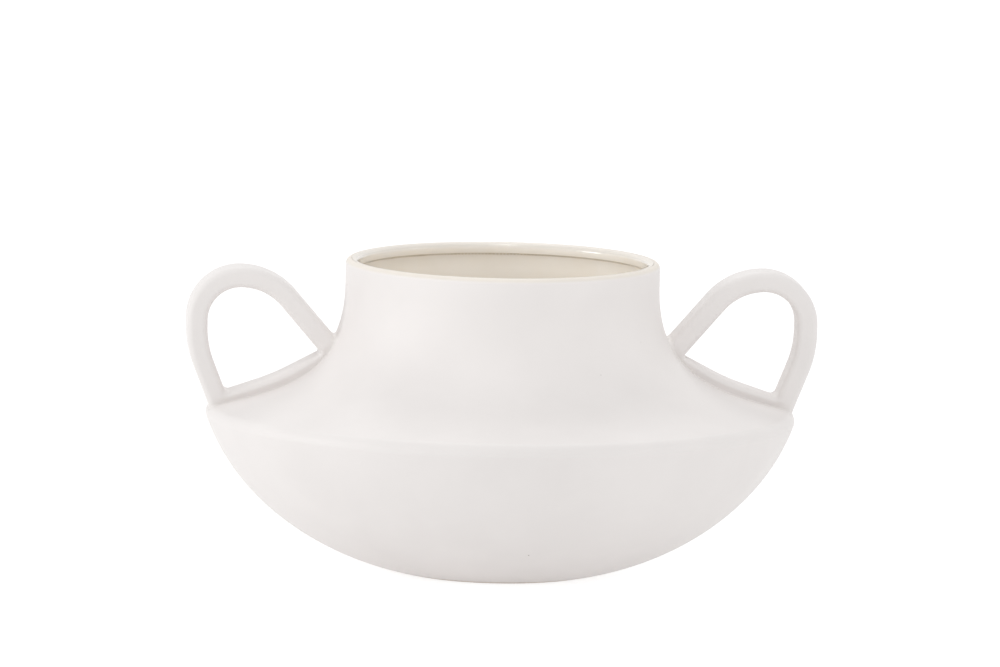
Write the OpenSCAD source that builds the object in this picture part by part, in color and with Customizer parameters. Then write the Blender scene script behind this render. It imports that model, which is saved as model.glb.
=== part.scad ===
// Squat ceramic plant pot (a cachepot with no drainage hole) with two closed
// ring handles. The pot is one turned shell: a small flat foot, a deep bowl,
// a rounded belly edge, a trumpet-shaped shoulder and an upright neck. Each
// handle is a flat strap bent into a closed ring, cut underneath to sit on the
// shoulder, and stuck there by a thin bed of slip. A cream glaze lines the
// inside and runs over the rim. Millimetres, +Z up, the foot stands on z = 0
// around the origin and the handles point along X.

/* [Pot] */
// Height from the foot to the top of the rim
pot_h = 162; // [150:0.5:200]
// Diameter of the foot that the pot stands on
foot_d = 104; // [80:1:130]
// Largest diameter, just under the belly edge
belly_d = 306; // [280:1:340]
// Height at which the bowl ends and the belly edge starts
belly_z = 78.8; // [70:0.1:88]
// Outer diameter of the neck
neck_d = 163.2; // [150:0.2:180]
// Length of the neck's straight part, rim included
neck_straight = 13; // [8:0.5:20]
// Thickness of the fired clay wall
wall = 5; // [4:0.1:6]
// Thickness of the floor above the foot's recess
floor_t = 6; // [5:0.1:10]

/* [Curves] */
// Angle at which the bowl leaves the foot
foot_angle = 11.2; // [8:0.2:14]
// Angle of the bowl's wall where it meets the belly edge
bowl_angle = 70.5; // [62:0.5:76]
// Radius of the rounded belly edge, outside
belly_edge_r = 5.5; // [4:0.1:9]
// Slope of the shoulder where it leaves the belly edge
shoulder_angle = 13.2; // [10:0.1:18]
// Radius of the same edge on the inside, over the glaze
inner_edge_r = 5; // [3:0.1:9]

/* [Rim] */
// Thickness of the clay in the lip band, inside the mouth
lip_t = 6; // [5:0.1:7]
// Height of the lip band, from its undercut to the top of the rim
lip_h = 5.4; // [4.6:0.1:9]
// Radius that rounds the rim, inside and outside
rim_r = 2.9; // [2:0.1:3.2]
// Height of the slope under the lip band
undercut_h = 0.8; // [0.5:0.1:1.5]
// Thickness of the glaze inside
glaze_t = 0.5; // [0.4:0.05:0.8]

/* [Foot] */
// Width of the ring that the pot stands on
foot_ring_w = 9; // [6:0.5:14]
// Depth of the recess inside that ring
foot_recess = 1.2; // [0.8:0.1:2]

/* [Handles] */
// Thickness of the strap, seen from the front
strap_t = 10.6; // [8:0.1:12]
// Width of the strap, from front to back
strap_w = 22; // [16:0.5:30]
// Radius that rounds the strap's long edges
strap_edge_r = 3; // [1.5:0.1:4]
// How far the ring reaches out past the belly edge
ring_overhang = 11; // [8:0.5:16]
// Drop from the top of the rim to the top of the ring
ring_drop = 4; // [2:0.1:10]
// How far in from the belly's widest line the ring's outer face lands
ring_land = 2.8; // [1.5:0.1:5]
// Lean of the ring's outer side where it leaves the belly edge
side_angle = 68.4; // [64:0.2:74]
// Radius of the ring's outer side, at the middle of the strap
side_r = 54; // [40:1:60]
// Radius of the ring's top corner, at the middle of the strap
top_r = 22.6; // [18:0.1:26]
// Radius from the ring's top into its leg, at the middle of the strap
leg_r = 33.5; // [26:0.5:40]
// Slope of the leg that rises from the neck
leg_angle = 49.2; // [45:0.2:54]
// Drop from the top of the rim to where the leg's outer face would meet the
// line of the neck
leg_root_drop = 47; // [42:0.5:52]
// Height above the shoulder of the opening's corner at the belly edge
toe_rise = 4.7; // [4:0.1:6]
// Height above the shoulder of the bar's upper face at its middle
bar_rise = 5.5; // [5:0.1:7]
// Height above the shoulder of the opening's corner at the neck
heel_rise = 2.2; // [1.5:0.1:4]
// Radius of the bar, at the middle of the strap
bar_r = 120; // [80:1:160]
// Radius of the opening's corner at the belly edge
toe_r = 3; // [2:0.1:5]
// Radius of the opening's corner at the neck
heel_r = 1.6; // [1.2:0.1:4]

/* [Slip] */
// Thickness of the bed of slip under a handle
slip_t = 0.6; // [0.4:0.05:1]
// How far the slip stays back from the strap's edges
slip_inset = 0.8; // [0.5:0.1:1.5]

/* [Hidden] */

$fn = 128;

// Number of steps along each curve of the profile
bowl_steps = 22;
edge_steps = 8;
shoulder_steps = 20;
rim_steps = 6;
strap_edge_steps = 4;
// Turn of the ring's line from one row of its strap to the next
row_turn = 6;
// Number of times that a stretch of the shoulder is halved to find a place
halvings = 30;

// Pulls of the bowl's curve at its two ends, as shares of the bowl's width
foot_pull_share = 0.43;
bowl_pull_share = 0.448;
// Pulls of the shoulder's curve, as shares of its run and of its rise
shoulder_pull_share = 0.58;
neck_pull_share = 0.71;

// Where the middle of the bar stands along the shoulder, as a share of the way
// from the belly edge to the neck
bar_mid_share = 0.31;
// How much of the strap's thickness is added to a corner's radius on its
// outer face: all of it where the strap bends, little where it is cut to land
bent_share = 1;
cut_share = 0.1;

foot_r = foot_d / 2;
belly_r = belly_d / 2;
neck_r = neck_d / 2;
lining = wall + glaze_t;
full_lip = lip_t + glaze_t;
overrun = wall;
// Shortest straight that parts two rows of the strap
least_run = 0.05;

function unit(a) = [cos(a), sin(a)];
function left_of(v) = [-v[1], v[0]];
function size_of(v) = sqrt(v * v);
function bezier(p, t) =
    pow(1 - t, 3) * p[0] + 3 * pow(1 - t, 2) * t * p[1]
    + 3 * (1 - t) * t * t * p[2] + pow(t, 3) * p[3];
function bezier_way(p, t) =
    let (d = pow(1 - t, 2) * (p[1] - p[0]) + 2 * (1 - t) * t * (p[2] - p[1])
             + t * t * (p[3] - p[2]))
    d / size_of(d);
// A point of a curve, moved to its left by a distance
function bezier_at(p, t, off) = bezier(p, t) + left_of(bezier_way(p, t)) * off;
function bezier_line(p, steps, off, from = 0) =
    [for (i = [from : steps]) bezier_at(p, i / steps, off)];
function arc_line(c, r, a0, a1, steps, from = 0) =
    [for (i = [from : steps]) c + r * unit(a0 + (a1 - a0) * i / steps)];

// The turned profile, from the foot up. The bowl ends on belly_start, the
// belly edge turns round belly_c, and the shoulder runs from its end to the
// straight neck.
bowl_run = belly_r - foot_r;
edge_side = belly_edge_r * (1 - sin(bowl_angle));
belly_start = [belly_r - edge_side, belly_z];
bowl_curve = [[foot_r, 0],
              [foot_r, 0] + bowl_run * foot_pull_share * unit(foot_angle),
              belly_start - bowl_run * bowl_pull_share * unit(bowl_angle),
              belly_start];
belly_c = belly_start + belly_edge_r * left_of(unit(bowl_angle));
edge_a0 = bowl_angle - 90;
edge_a1 = 90 - shoulder_angle;
shoulder_start = belly_c + belly_edge_r * unit(edge_a1);
neck_z = pot_h - neck_straight;
shoulder_run = shoulder_start[0] - neck_r;
shoulder_rise = neck_z - shoulder_start[1];
shoulder_curve = [shoulder_start,
                  shoulder_start
                      + shoulder_run * shoulder_pull_share / cos(shoulder_angle)
                        * unit(180 - shoulder_angle),
                  [neck_r, neck_z - shoulder_rise * neck_pull_share],
                  [neck_r, neck_z]];

// Outer side of the pot, grown outwards by a distance
function outer_side(grow) = concat(
    bezier_line(bowl_curve, bowl_steps, -grow),
    arc_line(belly_c, belly_edge_r + grow, edge_a0, edge_a1, edge_steps, 1),
    bezier_line(shoulder_curve, shoulder_steps, -grow, 1));

// Inner side of the pot, a distance in from the outer side, from the floor up.
// Its belly edge turns on a larger radius than the wall alone would leave.
inner_floor_z = foot_recess + floor_t;
edge_mid = (edge_a0 + edge_a1) / 2;
inner_c = belly_c - unit(edge_mid) * (lining + inner_edge_r - belly_edge_r)
                    / cos((edge_a1 - edge_a0) / 2);
function inner_side(inset, floor_z) =
    let (edge = arc_line(inner_c, inner_edge_r + lining - inset,
                         edge_a0, edge_a1, edge_steps),
         low = edge[0][1], high = edge[edge_steps][0])
    concat(
        [[0, floor_z]],
        [for (p = bezier_line(bowl_curve, bowl_steps, inset))
            if (p[1] > floor_z && p[1] < low) p],
        edge,
        [for (p = bezier_line(shoulder_curve, shoulder_steps, inset))
            if (p[0] < high) p]);

// Lip band on the inside of the mouth and the crown of the rim, a distance in
// from the outer side of the neck. It ends on the middle of the crown.
crown_r = neck_r - full_lip / 2;
function lip_side(inset, thick, skin) = concat(
    [[neck_r - inset, pot_h - lip_h - undercut_h - skin],
     [neck_r - thick, pot_h - lip_h - skin]],
    arc_line([neck_r - full_lip + rim_r, pot_h - rim_r], rim_r - skin,
             180, 90, rim_steps),
    [[crown_r, pot_h - skin]]);

// The outside of the rim, from the neck to the crown
function rim_side() =
    arc_line([neck_r - rim_r, pot_h - rim_r], rim_r, 0, 90, rim_steps);

function backwards(p) = [for (i = [len(p) - 1 : -1 : 0]) p[i]];

module pot_body() {
    color("#ece6e1")
    rotate_extrude()
    polygon(concat(
        [[0, foot_recess], [foot_r - foot_ring_w - foot_recess, foot_recess],
         [foot_r - foot_ring_w, 0]],
        outer_side(0),
        rim_side(),
        [[crown_r, pot_h]],
        backwards(lip_side(wall, lip_t, glaze_t)),
        backwards(inner_side(wall, inner_floor_z))));
}

// The skin lies on the clay and keeps the same points, so the two meet face to
// face. On the crown its edge is let into the clay, flush with it.
module inner_glaze() {
    color("#e6dccd")
    rotate_extrude()
    polygon(concat(
        inner_side(wall, inner_floor_z),
        lip_side(wall, lip_t, glaze_t),
        backwards(lip_side(lining, full_lip, 0)),
        backwards(inner_side(lining, inner_floor_z + glaze_t))));
}

// Solid of the pot's outside with no hollow, grown by a distance, which cuts
// what sits on the shoulder
module pot_outside(grow) {
    rotate_extrude()
    polygon(concat(
        [[0, 0]],
        outer_side(grow),
        [[neck_r + grow, pot_h + overrun], [0, pot_h + overrun]]));
}

// Corners of the line along the middle of the strap, as [place, radius on the
// strap's inner face, share of the thickness added on its outer face], round
// the ring against the clock: toe at the belly edge, outer side, top, leg,
// heel at the neck, and the middle of the bar, which bends the other way to
// follow the shoulder.
function crossing(p, u, q, v) =
    p + u * (((q - p) * left_of(v)) / (u * left_of(v)));
// Where the line through p along u stands a height above the shoulder, found
// by halving the stretch of the shoulder that it is over
function above_shoulder(rise, p, u, from = 0, to = 1, times = halvings) =
    let (half = (from + to) / 2, q = bezier_at(shoulder_curve, half, -rise))
    times == 0 ? q
    : (q - p) * left_of(u) < 0 ? above_shoulder(rise, p, u, half, to, times - 1)
    : above_shoulder(rise, p, u, from, half, times - 1);
side_way = unit(side_angle);
side_foot = [belly_r - ring_land, belly_c[1]] + left_of(side_way) * strap_t / 2;
leg_way = unit(leg_angle);
leg_foot = [neck_r, pot_h - leg_root_drop] - left_of(leg_way) * strap_t / 2;
side_x = belly_r + ring_overhang - strap_t / 2;
top_z = pot_h - ring_drop - strap_t / 2;
// The bar's upper face runs from heel to toe over its middle
toe = above_shoulder(toe_rise, side_foot + left_of(side_way) * strap_t / 2, side_way);
heel = above_shoulder(heel_rise, leg_foot - left_of(leg_way) * strap_t / 2, leg_way);
bar_top = bezier_at(shoulder_curve, bar_mid_share, -bar_rise);
toe_way = (toe - bar_top) / size_of(toe - bar_top);
heel_way = (bar_top - heel) / size_of(bar_top - heel);
toe_mid = bar_top - left_of(toe_way) * strap_t / 2;
heel_mid = bar_top - left_of(heel_way) * strap_t / 2;
ring_corners = [
    [crossing(side_foot, side_way, toe_mid, toe_way), toe_r, cut_share],
    [crossing(side_foot, side_way, [side_x, top_z], [0, 1]),
     side_r - strap_t / 2, bent_share],
    [[side_x, top_z], top_r - strap_t / 2, bent_share],
    [crossing(leg_foot, leg_way, [side_x, top_z], [1, 0]),
     leg_r - strap_t / 2, bent_share],
    [crossing(leg_foot, leg_way, heel_mid, heel_way), heel_r, bent_share],
    [crossing(heel_mid, heel_way, toe_mid, toe_way), bar_r - strap_t / 2,
     bent_share]];

// Cross-section of the strap, drawn round the line along its middle. The first
// axis is the strap's thickness and the second its width.
strap_section = [
    for (c = [[1, -1, -90], [1, 1, 0], [-1, 1, 90], [-1, -1, 180]])
    for (i = [0 : strap_edge_steps])
        [c[0] * (strap_t / 2 - strap_edge_r), c[1] * (strap_w / 2 - strap_edge_r)]
        + strap_edge_r * unit(c[2] + 90 * i / strap_edge_steps)];

// Rows of the strap along the ring, as [corner, its mitre, way outwards, inner
// radius, share added, side of the turn]: an arc at each corner, and the
// straights are what lies between the arcs. Where two corners would need more
// than the line between them, both radii shrink to fit it.
ring_rows =
    let (n = len(ring_corners),
         at = [for (c = ring_corners) c[0]],
         lines = [for (i = [0 : n - 1]) at[(i + 1) % n] - at[i]],
         ways = [for (l = lines) l / size_of(l)],
         turns = [for (i = [0 : n - 1])
             let (u = ways[(i + n - 1) % n], v = ways[i])
             atan2(v * left_of(u), u * v)],
         wants = [for (i = [0 : n - 1])
             (ring_corners[i][1] + strap_t / 2) * tan(abs(turns[i]) / 2)],
         fits = [for (i = [0 : n - 1])
             min(1, size_of(lines[i]) / (wants[i] + wants[(i + 1) % n]))],
         cuts = [for (i = [0 : n - 1])
             wants[i] * min(fits[i], fits[(i + n - 1) % n])])
    [for (i = [0 : n - 1])
        let (u = ways[(i + n - 1) % n], v = ways[i],
             mitre = -(left_of(u) + left_of(v)) / (1 + u * v),
             mid_r = cuts[i] / tan(abs(turns[i]) / 2),
             run = size_of(lines[(i + n - 1) % n]) - cuts[i]
                   - cuts[(i + n - 1) % n],
             steps = ceil(abs(turns[i]) / row_turn),
             heading = atan2(u[1], u[0]))
        for (k = [run < least_run ? 1 : 0 : steps])
            [at[i], mitre, unit(heading - 90 + turns[i] * k / steps),
             mid_r - strap_t / 2, ring_corners[i][2], sign(turns[i])]];

// Point of a row at a distance out from the middle of the strap
function row_point(row, out) =
    let (r = row[5] > 0 ? row[3] + (out + strap_t / 2) * row[4]
                        : -(row[3] + strap_t / 2) + out)
    row[0] + row[1] * (out - r) + row[2] * r;

// The strap as one closed ring in the XZ plane
module strap_ring() {
    n = len(strap_section);
    rows = len(ring_rows);
    polyhedron(
        [for (row = ring_rows) for (p = strap_section)
            let (q = row_point(row, p[0])) [q[0], p[1], q[1]]],
        [for (i = [0 : rows - 1]) for (j = [0 : n - 1])
            let (near = i * n, far = (i + 1) % rows * n, k = (j + 1) % n)
            [near + j, far + j, far + k, near + k]]);
}

module handle() {
    color("#e6e2df")
    difference() {
        strap_ring();
        pot_outside(slip_t);
    }
}

// Bed of slip between the handle and the pot. It stays back from the strap's
// edges, from the leg's outer face to where the ring lands on the belly edge.
module luting_slip() {
    leg_root = [neck_r, pot_h - leg_root_drop] - left_of(leg_way) * slip_inset;
    land = [belly_r - ring_land, belly_c[1]] + left_of(side_way) * slip_inset;
    color("#d9d2cc")
    intersection() {
        difference() {
            pot_outside(slip_t);
            pot_outside(0);
        }
        rotate([90, 0, 0])
            linear_extrude(strap_w - 2 * slip_inset, center = true)
            polygon([leg_root, [leg_root[0], land[1]], land,
                     land + side_way * leg_root_drop,
                     leg_root + leg_way * leg_root_drop]);
    }
}

module right_handle() { handle(); }
module left_handle() { mirror([1, 0, 0]) handle(); }
module right_luting_slip() { luting_slip(); }
module left_luting_slip() { mirror([1, 0, 0]) luting_slip(); }

pot_body();
inner_glaze();
left_handle();
right_handle();
left_luting_slip();
right_luting_slip();
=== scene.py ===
import bpy
import numpy as np
from mathutils import Matrix, Vector


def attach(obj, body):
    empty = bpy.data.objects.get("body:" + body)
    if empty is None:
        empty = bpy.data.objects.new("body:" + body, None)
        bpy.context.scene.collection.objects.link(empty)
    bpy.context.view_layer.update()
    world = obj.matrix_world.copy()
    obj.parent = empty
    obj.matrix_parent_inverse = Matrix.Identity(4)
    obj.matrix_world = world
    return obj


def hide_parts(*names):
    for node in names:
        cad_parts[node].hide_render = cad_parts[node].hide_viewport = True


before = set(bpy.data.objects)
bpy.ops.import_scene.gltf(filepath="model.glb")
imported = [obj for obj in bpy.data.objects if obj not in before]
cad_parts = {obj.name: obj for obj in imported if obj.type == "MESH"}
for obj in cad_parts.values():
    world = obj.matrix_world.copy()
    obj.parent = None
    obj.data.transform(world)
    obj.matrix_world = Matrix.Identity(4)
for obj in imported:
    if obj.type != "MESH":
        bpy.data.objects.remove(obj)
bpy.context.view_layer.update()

# --- Pot shell -------------------------------------------------------------
# The shell is stoneware, slip-cast in a mould and finished on a wheel: a small
# flat foot, a deep bowl, a rounded belly edge, a trumpet-shaped shoulder and
# an upright neck. A matte warm-white glaze covers it down to the foot ring.
mm = 0.001
pot_h, foot_r, belly_r, belly_z, neck_r = 162.0, 52.0, 153.0, 78.8, 81.6
neck_straight, wall, glaze_t, floor_t = 13.0, 5.0, 0.5, 6.0
foot_angle, bowl_angle, belly_edge_r, shoulder_angle = 11.2, 70.5, 5.5, 13.2
foot_ring_w, foot_recess, inner_edge_r = 9.0, 1.2, 5.0
lip_t, lip_h, rim_r, undercut_h = 6.0, 5.4, 2.9, 0.8
foot_pull, bowl_pull, shoulder_pull, neck_pull = 0.43, 0.448, 0.58, 0.71
lining, full_lip = wall + glaze_t, lip_t + glaze_t
floor_z = foot_recess + floor_t
crown_r = neck_r - full_lip / 2


def way(degrees):
    """Unit vector (cosine, sine) of an angle, which may be an array."""
    a = np.radians(degrees)
    return np.stack([np.cos(a), np.sin(a)], -1)


def left_of(v):
    """The vector turned a quarter to its left."""
    return np.stack([-v[..., 1], v[..., 0]], -1)


def unit(v):
    """The vector at length one."""
    return v / np.linalg.norm(v, axis=-1, keepdims=True)


def pulled_curve(p, t, off=0.0):
    """Cubic curve from the first point to the last, pulled towards the two
    between them, and moved to its left by a distance. The weights of the four
    points are (1-t)^3, 3t(1-t)^2, 3t^2(1-t) and t^3."""
    t = np.asarray(t)[:, None]
    a, b, c, d = p
    at = (1 - t)**3 * a + 3 * t * (1 - t)**2 * b + 3 * t * t * (1 - t) * c + t**3 * d
    along = (1 - t)**2 * (b - a) + 2 * t * (1 - t) * (c - b) + t * t * (d - c)
    return at + left_of(unit(along)) * off


def arc(centre, r, a0, a1, steps):
    """Points of a circle from one angle to another, the centre plus r times
    the unit vector of each angle."""
    return centre + r * way(np.linspace(a0, a1, steps + 1))


bowl_run = belly_r - foot_r
belly_start = np.array([belly_r - belly_edge_r * (1 - np.sin(np.radians(bowl_angle))), belly_z])
foot_start = np.array([foot_r, 0.0])
bowl_pulls = [foot_start, foot_start + bowl_run * foot_pull * way(foot_angle),
              belly_start - bowl_run * bowl_pull * way(bowl_angle), belly_start]
belly_c = belly_start + belly_edge_r * left_of(way(bowl_angle))
edge_a0, edge_a1 = bowl_angle - 90, 90 - shoulder_angle
shoulder_start = belly_c + belly_edge_r * way(edge_a1)
neck_z = pot_h - neck_straight
shoulder_run, shoulder_rise = shoulder_start[0] - neck_r, neck_z - shoulder_start[1]
shoulder_pulls = [shoulder_start,
                  shoulder_start + shoulder_run * shoulder_pull
                  / np.cos(np.radians(shoulder_angle)) * way(180 - shoulder_angle),
                  np.array([neck_r, neck_z - shoulder_rise * neck_pull]),
                  np.array([neck_r, neck_z])]
outside = np.concatenate([
    pulled_curve(bowl_pulls, np.linspace(0, 1, 76)),
    arc(belly_c, belly_edge_r, edge_a0, edge_a1, 30)[1:],
    pulled_curve(shoulder_pulls, np.linspace(0, 1, 76))[1:]])


def inner_side(inset, floor):
    """The inside of the shell from the floor up, as the outside's curves
    moved inwards by a distance. Its belly edge turns on a rounder arc."""
    centre = belly_c - way((edge_a0 + edge_a1) / 2) * (
        (lining + inner_edge_r - belly_edge_r) / np.cos(np.radians((edge_a1 - edge_a0) / 2)))
    edge = arc(centre, inner_edge_r + lining - inset, edge_a0, edge_a1, 16)
    bowl = pulled_curve(bowl_pulls, np.linspace(0, 1, 60), inset)
    shoulder = pulled_curve(shoulder_pulls, np.linspace(0, 1, 60), inset)
    return np.concatenate([[[0, floor]], bowl[(bowl[:, 1] > floor) & (bowl[:, 1] < edge[0, 1])],
                           edge, shoulder[shoulder[:, 0] < edge[-1, 0]]])


def lip_side(inset, thick, skin):
    """The lip band inside the mouth, from its undercut to the crown. The two
    corners of the undercut are eased, as glaze runs round them."""
    low = np.array([neck_r - inset, pot_h - lip_h - undercut_h - skin])
    high = np.array([neck_r - thick, pot_h - lip_h - skin])
    t = np.linspace(0, 1, 9)[:, None]
    ease = t * t * (3 - 2 * t)
    slope = np.concatenate([low[0] + (high[0] - low[0]) * ease,
                            low[1] + (high[1] - low[1]) * t], 1)
    crown = arc(np.array([neck_r - full_lip + rim_r, pot_h - rim_r]),
                rim_r - skin, 180, 90, 14)
    return np.concatenate([slope, crown, [[crown_r, pot_h - skin]]])


# A faint turned line runs round the belly edge: a bell curve (width 0.45 mm,
# depth 0.07 mm) taken off the radius.
groove_z, groove_depth, groove_w = belly_z + 2.4, 0.07, 0.45
groove = groove_depth * np.exp(-((outside[:, 1] - groove_z) / groove_w)**2)
groove *= outside[:, 0] > belly_r - 1
ring_in = foot_r - foot_ring_w
shell_line = np.concatenate([
    [[0, foot_recess], [ring_in - foot_recess - 0.3, foot_recess],
     [ring_in - 0.2, 0.15], [ring_in + 0.3, 0], [foot_r - 1, 0]],
    outside - groove[:, None] * [1, 0],
    arc(np.array([neck_r - rim_r, pot_h - rim_r]), rim_r, 0, 90, 14),
    lip_side(wall, lip_t, glaze_t)[::-1],
    inner_side(wall, floor_z)[::-1]])


def turned(line, turns):
    """A line of (radius, height) carried round the Z axis: the point at the
    turn a is (radius cos a, radius sin a, height), in metres."""
    a = np.linspace(0, 2 * np.pi, turns, endpoint=False)
    r, z = line[:, 0:1] * mm, line[:, 1:2] * mm
    return np.stack([r * np.cos(a), r * np.sin(a), z + 0 * a], -1)


def woven(name, grid, ring):
    """A mesh over a grid of points, row by row, each row closed on itself. In
    a ring the last row joins the first. Otherwise the first and last rows are
    single points, which close the ends with triangles."""
    rows, cols = grid.shape[:2]
    ids = np.arange(rows * cols).reshape(rows, cols)
    faces = []
    if ring:
        low, high, points = ids, np.roll(ids, -1, 0), grid.reshape(-1, 3)
    else:
        inner = ids[:rows - 2] + 1
        low, high = inner[:-1], inner[1:]
        points = np.concatenate([grid[:1, 0], grid[1:-1].reshape(-1, 3), grid[-1:, 0]])
        first, last = inner[0], inner[-1]
        start, end = np.zeros(cols, int), np.full(cols, len(points) - 1)
        faces += np.stack([start, np.roll(first, -1), first], -1).tolist()
        faces += np.stack([end, last, np.roll(last, -1)], -1).tolist()
    quads = np.stack([low, np.roll(low, -1, 1), np.roll(high, -1, 1), high], -1)
    faces += quads.reshape(-1, 4).tolist()
    mesh = bpy.data.meshes.new(name)
    mesh.from_pydata(points.tolist(), [], faces)
    mesh.polygons.foreach_set("use_smooth", np.ones(len(faces), bool))
    piece = bpy.data.objects.new(name, mesh)
    bpy.context.scene.collection.objects.link(piece)
    return piece


def linear(hexa):
    """Colour of an sRGB hex value in linear light: each channel c is
    c / 12.92 where dark, otherwise ((c + 0.055) / 1.055) to the power 2.4."""
    c = np.array([int(hexa[i:i + 2], 16) for i in (1, 3, 5)]) / 255
    return (*np.where(c <= 0.04045, c / 12.92, ((c + 0.055) / 1.055) ** 2.4).tolist(), 1)


def add(material, kind, links=(), **settings):
    """Adds one node. Settings whose names are sockets set those sockets, the
    rest are the node's own. Each link is (socket, (node, its output))."""
    node = material.node_tree.nodes.new("ShaderNode" + kind)
    for key, value in settings.items():
        name = key.replace("_", " ")
        if name in node.inputs:
            node.inputs[name].default_value = value
        else:
            setattr(node, key, value)
    for socket, (source, output) in links:
        material.node_tree.links.new(source.outputs[output], node.inputs[socket])
    return node


def glazed(name, bright, deep):
    """Matte stoneware glaze. The eye sees a warm white that drifts a little
    over a few fingers' breadth, fine peel from the spray, and a rare pinhole.
    The foot ring is bare, and on the crown of the rim the cream shows through."""
    m = bpy.data.materials.new(name)
    m.use_nodes = True
    m.node_tree.nodes.clear()
    place = add(m, "TexCoord")
    clouds = add(m, "TexNoise", [("Vector", (place, "Object"))], Scale=1 / (45 * mm), Detail=3.0)
    drift = add(m, "MapRange", [("Value", (clouds, "Fac"))], From_Min=0.35, From_Max=0.65)
    tint = add(m, "Mix", [("Factor", (drift, "Result"))], data_type="RGBA")
    tint.inputs[6].default_value, tint.inputs[7].default_value = linear(bright), linear(deep)
    # A pinhole shows where the surface comes within half a millimetre of one of
    # the points that lie scattered about 24 mm apart.
    cells = add(m, "TexVoronoi", [("Vector", (place, "Object"))], Scale=1 / (24 * mm))
    pin = add(m, "MapRange", [("Value", (cells, "Distance"))],
              From_Min=0.010, From_Max=0.022, To_Min=1.0, To_Max=0.0)
    dotted = add(m, "Mix", [("Factor", (pin, "Result")), (6, (tint, 2))], data_type="RGBA")
    dotted.inputs[7].default_value = linear("#9A8F86")
    height = add(m, "SeparateXYZ", [("Vector", (place, "Object"))])
    ring = add(m, "MapRange", [("Value", (height, "Z"))],
               From_Min=0.4 * mm, From_Max=2.2 * mm, To_Min=1.0, To_Max=0.0)
    footed = add(m, "Mix", [("Factor", (ring, "Result")), (6, (dotted, 2))], data_type="RGBA")
    footed.inputs[7].default_value = linear("#CDBFB0")
    crown = add(m, "MapRange", [("Value", (height, "Z"))], interpolation_type="SMOOTHSTEP",
                From_Min=(pot_h - 2.6) * mm, From_Max=(pot_h - 0.8) * mm)
    colour = add(m, "Mix", [("Factor", (crown, "Result")), (6, (footed, 2))], data_type="RGBA")
    colour.inputs[7].default_value = linear("#E4DDD4")
    # The photo is too coarse to show the peel. Its size here is a guess, drawn
    # coarse enough to be seen.
    peel = add(m, "TexNoise", [("Vector", (place, "Object"))], Scale=1 / (1.6 * mm), Detail=2.0)
    grain = add(m, "Bump", [("Height", (peel, "Fac"))], Strength=0.25, Distance=0.04 * mm)
    surface = add(m, "BsdfPrincipled",
                  [("Base Color", (colour, 2)), ("Normal", (grain, "Normal"))],
                  Roughness=0.5, IOR=1.5)
    surface.inputs["Specular IOR Level"].default_value = 0.5
    add(m, "OutputMaterial", [("Surface", (surface, "BSDF"))])
    return m


matte_glaze = glazed("matte_warm_white_glaze", "#ECE8E6", "#E9E5E3")
shell = woven("pot_shell", turned(shell_line, turns=280), ring=False)
shell.data.materials.append(matte_glaze)
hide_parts("pot_body")
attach(shell, "root")

# --- Inner glaze -------------------------------------------------------------
# The inside is coated with a glossy cream glaze, poured in and swilled round,
# that runs up over the lip band. Under the lip it is painted darker, for glaze
# pooled there and as painted shade under the lip's overhang. On the crown it
# thins to a duller, greyer cream, painted darker also as shade for the crown's
# dim reflection.
glaze_line = np.concatenate([
    inner_side(wall, floor_z), lip_side(wall, lip_t, glaze_t),
    lip_side(lining, full_lip, 0)[::-1], inner_side(lining, floor_z + glaze_t)[::-1]])

# Glossy stoneware glaze. The eye sees the lamps in its shine and a cream that
# drifts over two fingers' breadth.
lip_low = pot_h - lip_h
cream = bpy.data.materials.new("glossy_cream_glaze")
cream.use_nodes = True
cream.node_tree.nodes.clear()
place = add(cream, "TexCoord")
clouds = add(cream, "TexNoise", [("Vector", (place, "Object"))], Scale=1 / (30 * mm), Detail=3.0)
drift = add(cream, "MapRange", [("Value", (clouds, "Fac"))], From_Min=0.35, From_Max=0.65)
tint = add(cream, "Mix", [("Factor", (drift, "Result"))], data_type="RGBA")
tint.inputs[6].default_value, tint.inputs[7].default_value = linear("#FAF6EF"), linear("#F7F1E7")
height = add(cream, "SeparateXYZ", [("Vector", (place, "Object"))])
# A band just under the lip is painted darker: pooled glaze, and painted shade under the lip's
# overhang.
under_lip = add(cream, "MapRange", [("Value", (height, "Z"))], interpolation_type="SMOOTHSTEP",
                From_Min=(lip_low + 0.2) * mm, From_Max=(lip_low - 0.4) * mm)
above_wall = add(cream, "MapRange", [("Value", (height, "Z"))], interpolation_type="SMOOTHSTEP",
                 From_Min=(lip_low - 1.3) * mm, From_Max=(lip_low - 0.7) * mm)
pool_and_shade = add(cream, "Math", [(0, (under_lip, "Result")), (1, (above_wall, "Result"))],
           operation="MULTIPLY")
pooled_and_shaded = add(cream, "Mix", [("Factor", (pool_and_shade, "Value")), (6, (tint, 2))], data_type="RGBA")
pooled_and_shaded.inputs[7].default_value = linear("#DDD2C0")
# The crown is painted greyer: the glaze thins there, and the darker colour is also painted shade
# for the crown's dim reflection.
thin_and_shaded = add(cream, "MapRange", [("Value", (height, "Z"))], interpolation_type="SMOOTHSTEP",
           From_Min=(pot_h - 3.5) * mm, From_Max=(pot_h - 1) * mm)
colour = add(cream, "Mix", [("Factor", (thin_and_shaded, "Result")), (6, (pooled_and_shaded, 2))], data_type="RGBA")
colour.inputs[7].default_value = linear("#E2DCD4")
dull = add(cream, "MapRange", [("Value", (height, "Z"))], interpolation_type="SMOOTHSTEP",
           From_Min=(pot_h - 1.7) * mm, From_Max=(pot_h - 0.1) * mm)
rough = add(cream, "MapRange", [("Value", (dull, "Result"))], To_Min=0.22, To_Max=0.5)
gloss = add(cream, "MapRange", [("Value", (dull, "Result"))], To_Min=1.0, To_Max=0.2)
surface = add(cream, "BsdfPrincipled",
              [("Base Color", (colour, 2)), ("Roughness", (rough, "Result")),
               ("Coat Weight", (gloss, "Result"))], IOR=1.5)
surface.inputs["Coat Roughness"].default_value = 0.06
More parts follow.
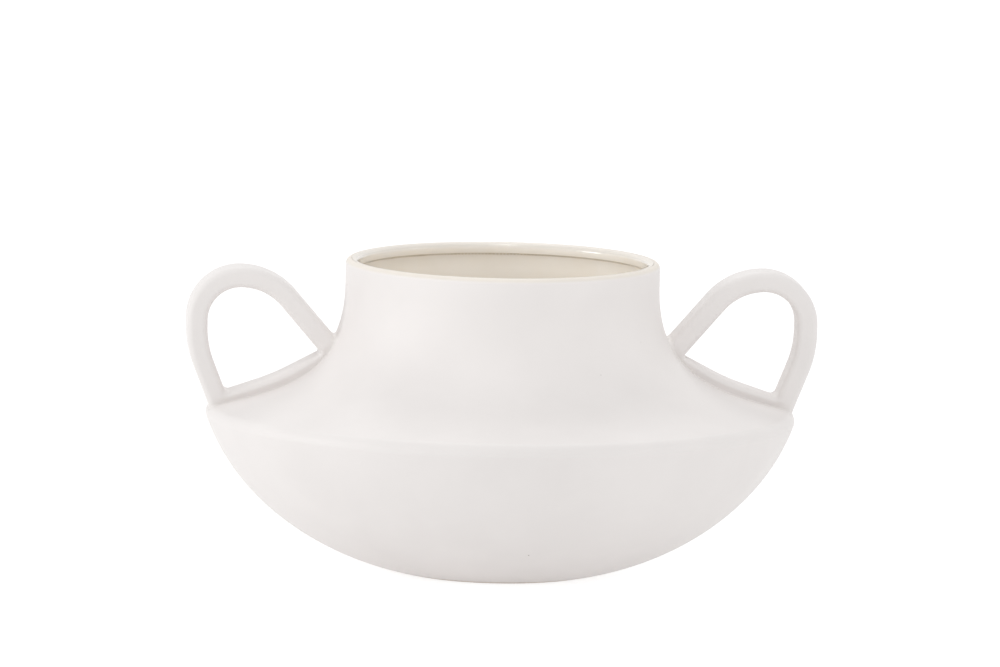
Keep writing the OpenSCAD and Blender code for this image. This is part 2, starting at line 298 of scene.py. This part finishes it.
add(cream, "OutputMaterial", [("Surface", (surface, "BSDF"))])

lining_skin = woven("inner_glaze_skin", turned(glaze_line[::-1], turns=256), ring=False)
lining_skin.data.materials.append(cream)
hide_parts("inner_glaze")
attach(lining_skin, "root")

# --- Ring handles ------------------------------------------------------------
# Each handle is a flat strap of the same clay, pulled or pressed, bent into a
# closed ring and cut underneath to the shoulder. Its long edges are softened
# by sponging, and the pot's matte glaze covers it.
strap_t, strap_w, strap_edge_r, slip_t = 10.6, 22.0, 3.0, 0.6
ring_overhang, ring_drop, ring_land, leg_root_drop = 11.0, 4.0, 2.8, 47.0
side_angle, leg_angle = 68.4, 49.2
side_r, top_r, leg_r, bar_r, toe_r, heel_r = 54.0, 22.6, 33.5, 120.0, 3.0, 1.6
toe_rise, bar_rise, heel_rise, bar_bend = 4.7, 5.5, 2.2, 0.31

side_way, leg_way = way(side_angle), way(leg_angle)
side_foot = np.array([belly_r - ring_land, belly_c[1]]) + left_of(side_way) * strap_t / 2
leg_foot = np.array([neck_r, pot_h - leg_root_drop]) - left_of(leg_way) * strap_t / 2
ring_far = np.array([belly_r + ring_overhang, pot_h - ring_drop]) - strap_t / 2


def crossing(p, u, q, v):
    """Where the line through p along u meets the line through q along v."""
    return p + u * ((q - p) @ left_of(v) / (u @ left_of(v)))


def above_shoulder(rise, p, u):
    """Where the line through p along u stands a height above the shoulder:
    the shoulder is lifted by the height, and its side of the line, which
    grows along it, is brought to zero between its points."""
    lifted = pulled_curve(shoulder_pulls, np.linspace(0, 1, 2001), -rise)
    side = (lifted - p) @ left_of(u)
    return np.array([np.interp(0, side, lifted[:, 0]), np.interp(0, side, lifted[:, 1])])


# The toe, the heel and the bend of the bar stand a little above the shoulder.
toe = above_shoulder(toe_rise, side_foot + left_of(side_way) * strap_t / 2, side_way)
heel = above_shoulder(heel_rise, leg_foot - left_of(leg_way) * strap_t / 2, leg_way)
bar_top = pulled_curve(shoulder_pulls, [bar_bend], -bar_rise)[0]
toe_way, heel_way = unit(toe - bar_top), unit(bar_top - heel)
toe_mid = bar_top - left_of(toe_way) * strap_t / 2
heel_mid = bar_top - left_of(heel_way) * strap_t / 2
across, upright = np.array([1.0, 0.0]), np.array([0.0, 1.0])

# The ring's middle line has six corners. Each has its place, the radius of the
# strap's inner side there, and how much of the strap's thickness the outer side
# adds to it: all (1), or a tenth, which keeps the toe sharp.
corners = [
    (crossing(side_foot, side_way, toe_mid, toe_way), toe_r, 0.1),
    (crossing(side_foot, side_way, ring_far, upright), side_r - strap_t / 2, 1.0),
    (ring_far, top_r - strap_t / 2, 1.0),
    (crossing(leg_foot, leg_way, ring_far, across), leg_r - strap_t / 2, 1.0),
    (crossing(leg_foot, leg_way, heel_mid, heel_way), heel_r, 1.0),
    (crossing(heel_mid, heel_way, toe_mid, toe_way), bar_r - strap_t / 2, 1.0)]


def strap_section(flat_out, flat_wide, steps):
    """A rounded rectangle, thickness first and width second: a quarter circle
    at each corner, and even steps along the flats between them."""
    loop = np.concatenate([
        np.array([sx * (strap_t / 2 - strap_edge_r), sy * (strap_w / 2 - strap_edge_r)])
        + strap_edge_r * way(a + np.linspace(0, 90, steps + 1))
        for sx, sy, a in ((1, -1, -90), (1, 1, 0), (-1, 1, 90), (-1, -1, 180))])
    ends = np.roll(loop, -1, 0)
    counts = np.tile([1] * steps + [0], 4)
    counts[steps::steps + 1] = [flat_wide, flat_out, flat_wide, flat_out]
    return np.concatenate([a + (b - a) * np.linspace(0, 1, n, endpoint=False)[:, None]
                           for a, b, n in zip(loop, ends, counts)])


section = strap_section(flat_out=12, flat_wide=10, steps=9)
turn_step, straight_step, too_close = 1.6, 1.1, 0.02


def strap_rows(out):
    """The strap's side view, row by row. Round each corner a point at the
    distance out from the middle line turns on its own radius, and its place is
    the corner, plus the mitre times (out - radius), plus the radius times the
    way outwards. Corners are cut into steps of about 1.6 degrees, straights
    into steps of about a millimetre, and rows that fall together are dropped."""
    at = np.array([c[0] for c in corners])
    lines = np.roll(at, -1, 0) - at
    long = np.linalg.norm(lines, axis=1)
    ways = unit(lines)
    before = np.roll(ways, 1, 0)
    turn = np.degrees(np.arctan2((ways * left_of(before)).sum(1), (ways * before).sum(1)))
    half = np.tan(np.radians(np.abs(turn) / 2))
    want = (np.array([c[1] for c in corners]) + strap_t / 2) * half
    fit = np.minimum(1, long / (want + np.roll(want, -1)))
    cut = want * np.minimum(fit, np.roll(fit, 1))
    rows = []
    for i, (corner, _, share) in enumerate(corners):
        mitre = -(left_of(before[i]) + left_of(ways[i])) / (1 + before[i] @ ways[i])
        middle_r = cut[i] / half[i]
        r = out - middle_r
        if turn[i] > 0:
            r = middle_r - strap_t / 2 + (out + strap_t / 2) * share
        heading = np.degrees(np.arctan2(before[i][1], before[i][0])) - 90
        steps = int(abs(turn[i]) / turn_step) + 2
        ways_out = way(heading + turn[i] * np.linspace(0, 1, steps))
        rows.append(corner + mitre * (out - r)[:, None] + ways_out[:, None] * r[:, None])
    rows = np.concatenate(rows)
    rows = rows[np.linalg.norm(np.roll(rows, -1, 0) - rows, axis=2).max(1) > too_close]
    ahead = np.roll(rows, -1, 0)
    gaps = np.linalg.norm(ahead - rows, axis=2).max(1)
    shares = [np.linspace(0, 1, max(1, int(gap / straight_step)), endpoint=False)
              for gap in gaps]
    return np.concatenate([a + (b - a) * share[:, None, None]
                           for a, b, share in zip(rows, ahead, shares)])


def nearest_on(line, points):
    """For each (radius, height) point, the nearest point of a line, the
    line's outward normal there, and the distance, negative on its inner side."""
    a, b = line[:-1], line[1:]
    d = b - a
    normal = -left_of(unit(d))
    found = []
    for some in np.array_split(points, len(points) // 4000 + 1):
        t = np.clip(((some[:, None] - a) * d).sum(2) / (d * d).sum(1), 0, 1)
        foot = a + t[..., None] * d
        gap = some[:, None] - foot
        best = np.linalg.norm(gap, axis=2).argmin(1)
        pick = np.arange(len(some)), best
        height_over = (gap[pick] * normal[best]).sum(1)
        found.append(np.column_stack([foot[pick], normal[best], height_over]))
    found = np.concatenate(found)
    return found[:, :2], found[:, 2:4], found[:, 4]


def above_pot(points):
    """How high points stand above the pot's outside, in millimetres."""
    r = np.hypot(points[:, 0], points[:, 1])
    return nearest_on(outside, np.column_stack([r, points[:, 2]]))[2]


def seated(points, lift):
    """Points with those that lie under the pot's outside slid up the strap
    until they stand a height above it. The way up turns evenly from the leg's
    way at the leg to the side's way at the toe, and the slide is halved 24
    times between nothing and 60 mm."""
    share = np.clip((points[:, 0] - leg_foot[0]) / (side_foot[0] - leg_foot[0]), 0, 1)
    upwards = way(leg_angle + (side_angle - leg_angle) * share)
    upwards = np.column_stack([upwards[:, 0], 0 * share, upwards[:, 1]])
    under = above_pot(points) < lift
    some, some_up = points[under], upwards[under]
    near, far = np.zeros(len(some)), np.full(len(some), 60.0)
    for _ in range(24):
        half_way = (near + far) / 2
        sunk = above_pot(some + some_up * half_way[:, None]) < lift
        near, far = np.where(sunk, half_way, near), np.where(sunk, far, half_way)
    seat = points.copy()
    seat[under] = some + some_up * far[:, None]
    return seat


tuck_in, tuck_rise = 1.4, 3.4


def tuck(points, rise):
    """How far the strap's long faces are cut in under the bar, in mm: the
    depth times (1 - rise / tuck_rise), fading out by a smooth step across the
    strap's thickness towards the ring's two outer faces."""
    xz = points[:, [0, 2]]
    leg, side = (xz - leg_foot) @ left_of(leg_way), (side_foot - xz) @ left_of(side_way)
    inside = np.clip((strap_t / 2 - 1 - np.maximum(leg, side)) / (strap_t - 1), 0, 1)
    return tuck_in * np.clip(1 - rise / tuck_rise, 0, 1) * inside**2 * (3 - 2 * inside)


rows = strap_rows(section[:, 0])
ring = np.stack([rows[..., 0], np.broadcast_to(section[:, 1], rows.shape[:2]), rows[..., 1]], -1)
flat = ring.reshape(-1, 3)
flat[:, 1] *= 1 - tuck(flat, above_pot(flat)) / (strap_w / 2)
ring = seated(flat, slip_t).reshape(ring.shape)

# The left ring is the right one mirrored, with its rows run backwards so that
# its faces still point outwards.
for side, sign in (("right", 1), ("left", -1)):
    placed = ring * [sign, 1, 1] * mm
    handle = woven(side + "_ring_handle", placed[:, ::sign], ring=True)
    handle.data.materials.append(matte_glaze)
    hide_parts(side + "_handle")
    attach(handle, "root")

# --- Luting slip -------------------------------------------------------------
# The slip that joins a handle is wet clay spread on the scored shoulder. What
# squeezes out is wiped round with a finger into a small cove, one to three
# millimetres high. Its matte glaze is painted a little darker, for glaze gathered
# there and as painted shade in the crease.
joint_steps, joint_inside = 420, 118.0
cove_h, cove_at_leg, cove_at_side, cove_wander = 0.8, 2.0, 0.3, 0.08
top_line = outside[outside[:, 1] > belly_z]
leg_out, side_out = left_of(leg_way), -left_of(side_way)


def on_shoulder(x, y):
    """The point of the pot's outside above the belly edge at (x, y), with its
    normal: the height is read off the profile at the radius."""
    r = np.hypot(x, y)
    order = np.argsort(top_line[:, 0])
    along = top_line[order]
    z = np.interp(r, along[:, 0], along[:, 1])
    _, n, _ = nearest_on(outside, np.column_stack([r, z]))
    return np.column_stack([x, y, z]), np.column_stack([n[:, 0] * x / r, n[:, 0] * y / r, n[:, 1]])


def past_strap(p):
    """How far points lie outside the strap's outer faces, and the way out of
    it. The distance is that of a rounded box: the larger distance out from
    the leg and the side, and the distance from front to back."""
    xz = p[:, [0, 2]]
    leg, side = (xz - leg_foot) @ leg_out, (xz - side_foot) @ side_out
    a = np.maximum(np.maximum(leg, side) - (strap_t / 2 - strap_edge_r), 0)
    b = np.maximum(np.abs(p[:, 1]) + tuck(p, 0) - (strap_w / 2 - strap_edge_r), 0)
    size = np.hypot(a, b) + 1e-9
    face = np.where((leg > side)[:, None], leg_out, side_out) * (a / size)[:, None]
    out = np.column_stack([face[:, 0], b / size * np.sign(p[:, 1]), face[:, 1]])
    return size - strap_edge_r, out


def joint_at(around):
    """Where the strap's outer faces meet the shoulder in each direction from a
    point inside the joint, and the shoulder's normal there. The distance is
    halved 40 times between nothing and 60 mm."""
    near, far = np.zeros(len(around)), np.full(len(around), 60.0)
    for _ in range(40):
        half_way = (near + far) / 2
        p, _ = on_shoulder(joint_inside + half_way * np.cos(around), half_way * np.sin(around))
        inside = past_strap(p)[0] < 0
        near, far = np.where(inside, half_way, near), np.where(inside, far, half_way)
    return on_shoulder(joint_inside + near * np.cos(around), near * np.sin(around))


# The joint is spaced evenly by its length. The cove reaches out from it along
# the pot and up the strap, and further at the leg than elsewhere.
around = np.linspace(0, 2 * np.pi, 2401)
run = np.cumsum(np.linalg.norm(np.diff(joint_at(around)[0], axis=0), axis=1))
around = np.interp(np.arange(joint_steps) * run[-1] / joint_steps, np.append(0, run), around)
joint, up = joint_at(around)
away = past_strap(joint)[1]
along_pot = unit(away - (away * up).sum(1, keepdims=True) * up)
along_strap = unit(up - (up * away).sum(1, keepdims=True) * away)
reach = cove_h + cove_at_leg * np.clip(away[:, 0] / leg_out[0], 0, 1)
reach += cove_at_side * np.clip(away[:, 0] / side_out[0], 0, 1) + cove_wander * np.sin(7 * around)
low = joint + along_pot * reach[:, None]
r = np.hypot(low[:, 0], low[:, 1])
foot, _, _ = nearest_on(outside, np.column_stack([r, low[:, 2]]))
low = np.column_stack([low[:, :2] * (foot[:, 0] / r)[:, None], foot[:, 1]])
high = joint + along_strap * (reach[:, None] + slip_t)
high[:, 1] *= (strap_w / 2 - tuck(high, above_pot(high))) / (strap_w / 2 - tuck(joint, 0))

# The cove is a curve pulled towards the joint: (1-t)^2 low + 2t(1-t) joint +
# t^2 high. Its edges lap on along the strap and the shoulder, just under their
# surfaces, and behind it the slip goes a little way into the bed.
t = np.linspace(0, 1, 9)[:, None, None]
cove = (1 - t)**2 * low + 2 * t * (1 - t) * joint + t * t * high
lap, under_strap, under_pot, sink, bed_in, bed_drop = 0.4, 0.06, 0.05, 0.25, 1.6, 0.15
bed = np.stack([high + along_strap * lap - away * under_strap, high - away * bed_in / 2,
                joint - away * bed_in + up * slip_t, joint - away * bed_in - up * bed_drop,
                low - up * sink, low + along_pot * lap - up * under_pot])
cove = np.concatenate([cove, bed]).transpose(1, 0, 2)

# The cove's glaze is painted a little darker: gathered glaze, and painted shade in the crease.
gathered_shaded_glaze = glazed("gathered_and_shaded_matte_glaze", "#EBE7E5", "#E7E3E0")
for side, sign in (("right", 1), ("left", -1)):
    placed = cove * [sign, 1, 1] * mm
    slip = woven(side + "_slip_cove", placed[:, ::sign], ring=True)
    slip.data.materials.append(gathered_shaded_glaze)
    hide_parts(side + "_luting_slip")
    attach(slip, "root")

# --- Floor, light and camera ---------------------------------------------------
# The pot stands on plain white board, in even light from the room and four soft
# lamps, with a narrow spot into the mouth. The board also glows faintly onto the
# pot from below, though it is no lamp. To the camera and to reflections the
# board and the room are white.
board_mesh = bpy.data.meshes.new("white_board")
reach_out = 30.0
board_mesh.from_pydata([(-reach_out, -reach_out, 0), (reach_out, -reach_out, 0),
                        (reach_out, reach_out, 0), (-reach_out, reach_out, 0)], [], [(0, 1, 2, 3)])
board = bpy.data.objects.new("white_board", board_mesh)
bpy.context.scene.collection.objects.link(board)


def seen_directly(owner):
    """A node that gives 1 to camera, glossy and transmission rays, and 0 to
    the rays that light the pot: the larger of the three flags."""
    seen = add(owner, "LightPath")
    either = add(owner, "Math", [(0, (seen, "Is Camera Ray")), (1, (seen, "Is Glossy Ray"))],
                 operation="MAXIMUM")
    return add(owner, "Math", [(0, (either, "Value")), (1, (seen, "Is Transmission Ray"))],
               operation="MAXIMUM")


# Card stock. It bounces plain light on the pot and also glows faintly on it from
# below, a glow from a board that is no lamp. Where it is seen it glows almost
# white and keeps the pot's shadow.
paper = bpy.data.materials.new("white_paper_board")
paper.use_nodes = True
paper.node_tree.nodes.clear()
seen = seen_directly(paper)
lit = add(paper, "BsdfDiffuse", Color=(0.8, 0.8, 0.8, 1))
# The board glows faintly onto the pot from below, though it is no lamp.
glow_from_below = add(paper, "Emission", Color=(1, 1, 1, 1), Strength=0.17)
bounce_and_glow = add(paper, "AddShader", [(0, (lit, "BSDF")), (1, (glow_from_below, "Emission"))])
faint = add(paper, "BsdfDiffuse", Color=(0.3, 0.3, 0.3, 1))
glow = add(paper, "Emission", Color=(1, 1, 1, 1), Strength=0.85)
look = add(paper, "AddShader", [(0, (faint, "BSDF")), (1, (glow, "Emission"))])
mixed = add(paper, "MixShader",
            [(0, (seen, "Value")), (1, (bounce_and_glow, "Shader")), (2, (look, "Shader"))])
add(paper, "OutputMaterial", [("Surface", (mixed, "Shader"))])
board_mesh.materials.append(paper)

room = bpy.data.worlds.new("studio")
bpy.context.scene.world = room
room.use_nodes = True
room.node_tree.nodes.clear()
seen = seen_directly(room)
walls = add(room, "Background", Color=(1, 1, 1, 1), Strength=0.86)
white = add(room, "Background", Color=(1, 1, 1, 1), Strength=1.0)
mixed = add(room, "MixShader",
            [(0, (seen, "Value")), (1, (walls, "Background")), (2, (white, "Background"))])
add(room, "OutputWorld", [("Surface", (mixed, "Shader"))])

for name, place, width, watts in (
        ("left_softbox", (-2.6, -0.4, 0.7), 0.9, 12.0),
        ("right_softbox", (2.6, -0.8, 0.8), 0.5, 2.0),
        ("front_top_softbox", (0.0, -1.2, 2.6), 1.0, 3.5),
        ("rear_top_softbox", (0.0, 1.65, 2.45), 1.0, 7.2)):
    lamp = bpy.data.lights.new(name, "AREA")
    lamp.shape, lamp.size, lamp.energy = "DISK", width, watts
    lamp_object = bpy.data.objects.new(name, lamp)
    bpy.context.scene.collection.objects.link(lamp_object)
    lamp_object.location = place
    lamp_object.rotation_euler = (-lamp_object.location).to_track_quat("-Z", "Y").to_euler()

snoot = bpy.data.lights.new("snoot_into_mouth", "SPOT")
snoot.energy, snoot.shadow_soft_size, snoot.spot_blend = 230.0, 0.07, 0.8
snoot_object = bpy.data.objects.new("snoot_into_mouth", snoot)
bpy.context.scene.collection.objects.link(snoot_object)
snoot_object.location = (-0.25, -1.2, 2.9)
snoot_aim = Vector((0.0, 0.0, pot_h * mm)) - snoot_object.location
snoot_reach = 60 * mm
snoot.spot_size = 2 * np.arctan(snoot_reach / snoot_aim.length)
snoot_object.rotation_euler = snoot_aim.to_track_quat("-Z", "Y").to_euler()

# The camera looks from the front, a little from the left and above, and leans a
# little. The point that it aims at is given in the picture's own pixels from
# the middle of the pot.
pixel, picture_w, film_w = 0.52 * mm, 1000, 36.0
sight, azimuth, elevation, lean = 6.2, np.radians(-4.5), np.radians(7.3), np.radians(1.1)
pot_middle, aim_right, aim_up = np.array([0, 0, 82.5 * mm]), -0.1 * pixel, 78.2 * pixel
back = np.array([np.sin(azimuth) * np.cos(elevation), -np.cos(azimuth) * np.cos(elevation),
                 np.sin(elevation)])
level = unit(np.cross([0, 0, 1], back))
plumb = np.cross(back, level)
right = level * np.cos(lean) + plumb * np.sin(lean)
upward = plumb * np.cos(lean) - level * np.sin(lean)
spot = pot_middle + right * aim_right + upward * aim_up + back * sight
lens = bpy.data.cameras.new("long_lens")
lens.lens = film_w * sight / (picture_w * pixel)
lens.clip_start, lens.clip_end = 0.1, 100
camera = bpy.data.objects.new("long_lens", lens)
bpy.context.scene.collection.objects.link(camera)
pose = np.eye(4)
pose[:3] = np.column_stack([right, upward, back, spot])
camera.matrix_world = Matrix(pose.tolist())
bpy.context.scene.camera = camera
bpy.context.scene.view_settings.view_transform = "Standard"

# White glaze passes light on many times inside the pot.
bpy.context.scene.cycles.max_bounces, bpy.context.scene.cycles.diffuse_bounces = 20, 16
